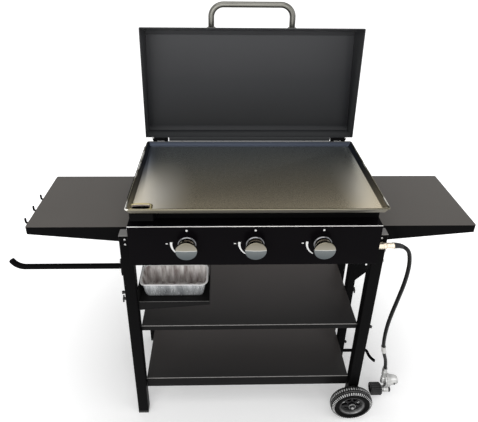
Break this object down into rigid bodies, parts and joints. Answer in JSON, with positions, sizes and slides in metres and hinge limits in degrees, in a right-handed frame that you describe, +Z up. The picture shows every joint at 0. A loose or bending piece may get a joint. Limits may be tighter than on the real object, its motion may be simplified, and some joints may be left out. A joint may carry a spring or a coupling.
{
  "type": "outdoor gas griddle station",
  "caption": "Flat-top gas griddle on a wheeled steel cart with a hinged hood, control knobs, side shelves, storage shelves, foil grease pan, towel bar and gas hose.",
  "frame": {"origin": "on the floor, under the middle of the whole object with its hood open, measured without the gas hose and its regulator", "axes": "+X to the cook's right, +Y away from the cook, +Z up"},
  "size_m": [1.379, 0.4788, 1.4085],
  "materials": {
    "griddle_steel": "oiled satin",
    "black_enamel": "semi-gloss",
    "grey_black_enamel": "satin",
    "black_plastic": "matt",
    "grey_plastic": "matt",
    "chrome": "polished",
    "stainless": "brushed",
    "zinc": "plated",
    "aluminium": "bare",
    "foil": "bright foil",
    "brass": "turned",
    "hose_rubber": "gloss",
    "tyre_rubber": "matt",
    "sleeve_plastic": "plain"
  },
  "bodies": {
    "cart": {"firebox": "black_enamel", "grease_chute": "black_enamel", "control_panel": "black_enamel", "leg_front_left": "black_enamel", "leg_rear_left": "black_enamel", "leg_front_right": "black_enamel", "leg_rear_right": "black_enamel", "side_rail_left": "black_enamel", "side_rail_right": "black_enamel", "shelf_bracket_left": "black_enamel", "shelf_bracket_right": "black_enamel", "grease_tray": "black_enamel", "towel_bar": "black_enamel", "tank_hanger": "black_enamel", "tank_stay_bar": "black_enamel", "shelf_bottom": "black_enamel", "shelf_middle": "black_enamel", "side_shelf_left": "grey_black_enamel", "side_shelf_right": "grey_black_enamel", "leg_top_caps": "grey_plastic", "leg_feet": "black_plastic", "tray_thumb_screws": "black_plastic", "shelf_thumb_screws": "black_plastic", "burner_left": "stainless", "burner_center": "stainless", "burner_right": "stainless", "burner_rail": "stainless", "gas_pipe": "aluminium", "regulator": "aluminium", "gas_inlet": "brass", "valve_left": "brass", "valve_center": "brass", "valve_right": "brass", "knob_bezels": "chrome", "hinge_brackets": "zinc", "hinge_pins": "zinc", "wheel_front_axle": "zinc", "wheel_rear_axle": "zinc", "leg_bolts": "zinc", "front_screws": "zinc", "tool_hooks": "zinc", "hose_ferrules": "zinc", "gas_hose": "hose_rubber", "hose_sleeve": "sleeve_plastic"},
    "hood": {"hood_shell": "black_enamel", "hood_handle": "stainless", "hinge_leaves": "zinc"},
    "griddle": {"griddle_plate": "griddle_steel", "griddle_feet": "griddle_steel"},
    "knob_left": {"knob_left": "chrome"},
    "knob_center": {"knob_center": "chrome"},
    "knob_right": {"knob_right": "chrome"},
    "wheel_front": {"wheel_front_rim": "black_plastic", "wheel_front_tyre": "tyre_rubber"},
    "wheel_rear": {"wheel_rear_rim": "black_plastic", "wheel_rear_tyre": "tyre_rubber"},
    "pan": {"grease_pan": "foil"},
    "nut": {"coupling_nut": "black_plastic"}
  },
  "joints": [
    {"name": "hood_hinge", "type": "hinge", "parent": "cart", "child": "hood", "pos_m": [0.0265, 0.13065, 0.949], "axis": [-1, 0, 0], "range_deg": [-92.5, 0]},
    {"name": "griddle_lift", "type": "slide", "parent": "cart", "child": "griddle", "axis": [0, 0, 1], "range_m": [0, 0.05]},
    {"name": "pan_lift", "type": "slide", "parent": "cart", "child": "pan", "axis": [0, 0, 1], "range_m": [0, 0.06]},
    {"name": "knob_left_turn", "type": "hinge", "parent": "cart", "child": "knob_left", "pos_m": [-0.1625, -0.20935, 0.794], "axis": [0, -1, 0], "range_deg": [0, 145]},
    {"name": "knob_center_turn", "type": "hinge", "parent": "cart", "child": "knob_center", "pos_m": [0.0265, -0.20935, 0.794], "axis": [0, -1, 0], "range_deg": [0, 145]},
    {"name": "knob_right_turn", "type": "hinge", "parent": "cart", "child": "knob_right", "pos_m": [0.2155, -0.20935, 0.794], "axis": [0, -1, 0], "range_deg": [0, 145]},
    {"name": "wheel_front_spin", "type": "hinge", "parent": "cart", "child": "wheel_front", "pos_m": [0.388, -0.17935, 0.073], "axis": [0, 1, 0], "continuous": true},
    {"name": "wheel_rear_spin", "type": "hinge", "parent": "cart", "child": "wheel_rear", "pos_m": [0.388, 0.16565, 0.073], "axis": [0, 1, 0], "continuous": true},
    {"name": "nut_spin", "type": "hinge", "parent": "cart", "child": "nut", "pos_m": [0.5175, -0.11135, 0.0377], "axis": [1, 0, 0], "continuous": true}
  ]
}
